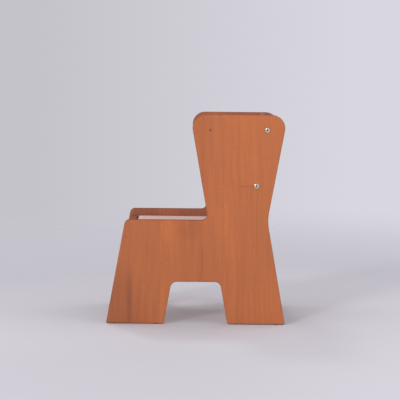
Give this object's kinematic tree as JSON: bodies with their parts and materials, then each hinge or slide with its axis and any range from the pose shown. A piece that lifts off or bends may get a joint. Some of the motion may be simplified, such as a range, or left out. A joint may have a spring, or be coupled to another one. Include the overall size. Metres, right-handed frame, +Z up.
{
  "type": "library step chair",
  "caption": "Solid-sided wooden library chair with a padded seat; the backrest board swings up and locks level as a top step.",
  "frame": {"origin": "on the floor, in the middle of the chair's width and of its depth", "axes": "the chair faces -Y; +X is to the right of someone who stands in front of it and looks at it, +Y towards its back, +Z up; left and right in names are meant the same way"},
  "size_m": [0.4702, 0.6816, 0.8],
  "materials": {
    "stained_beech": "edge-glued beech, orange-brown stain, satin lacquer",
    "plain_beech": "planed, unfinished",
    "birch_plywood": "sanded, unfinished",
    "vinyl": "vinyl-coated fabric over foam, pale, matt",
    "bright_nickel": "bright nickel plate",
    "zinc_plated_steel": "zinc plate, dull",
    "white_nylon": "moulded",
    "black_nylon": "moulded"
  },
  "bodies": {
    "frame": {"side_panel_left": "stained_beech", "side_panel_right": "stained_beech", "front_rail": "stained_beech", "rear_rail": "stained_beech", "seat_board": "birch_plywood", "seat_pad": "vinyl", "seat_cleat_left": "plain_beech", "seat_cleat_right": "plain_beech", "front_rail_dowel_left_lower": "plain_beech", "front_rail_dowel_left_upper": "plain_beech", "front_rail_dowel_right_lower": "plain_beech", "front_rail_dowel_right_upper": "plain_beech", "rear_rail_dowel_left_lower": "plain_beech", "rear_rail_dowel_left_upper": "plain_beech", "rear_rail_dowel_right_lower": "plain_beech", "rear_rail_dowel_right_upper": "plain_beech", "cleat_screw_left_front": "zinc_plated_steel", "cleat_screw_left_middle": "zinc_plated_steel", "cleat_screw_left_rear": "zinc_plated_steel", "cleat_screw_right_front": "zinc_plated_steel", "cleat_screw_right_middle": "zinc_plated_steel", "cleat_screw_right_rear": "zinc_plated_steel", "seat_screw_left_front": "zinc_plated_steel", "seat_screw_left_rear": "zinc_plated_steel", "seat_screw_right_front": "zinc_plated_steel", "seat_screw_right_rear": "zinc_plated_steel", "lock_insert_left": "zinc_plated_steel", "lock_insert_right": "zinc_plated_steel", "step_insert_left": "zinc_plated_steel", "step_insert_right": "zinc_plated_steel", "glide_left_front_outer": "black_nylon", "glide_left_front_inner": "black_nylon", "glide_left_rear_inner": "black_nylon", "glide_left_rear_outer": "black_nylon", "glide_right_front_outer": "black_nylon", "glide_right_front_inner": "black_nylon", "glide_right_rear_inner": "black_nylon", "glide_right_rear_outer": "black_nylon"},
    "backrest": {"backrest_board": "stained_beech", "pivot_bolt_left": "bright_nickel", "pivot_bolt_right": "bright_nickel", "pivot_washer_left": "white_nylon", "pivot_washer_right": "white_nylon", "pivot_insert_left": "zinc_plated_steel", "pivot_insert_right": "zinc_plated_steel"},
    "left_lock": {"lock_bolt_left": "bright_nickel"},
    "right_lock": {"lock_bolt_right": "bright_nickel"}
  },
  "joints": [
    {"name": "backrest_swing", "type": "hinge", "parent": "frame", "child": "backrest", "pos_m": [0, 0.265, 0.743], "axis": [-1, 0, 0], "range_deg": [0, 79.8]},
    {"name": "left_lock_draw", "type": "slide", "parent": "frame", "child": "left_lock", "axis": [-1, 0, 0], "range_m": [0, 0.045]},
    {"name": "right_lock_draw", "type": "slide", "parent": "frame", "child": "right_lock", "axis": [1, 0, 0], "range_m": [0, 0.045]}
  ]
}
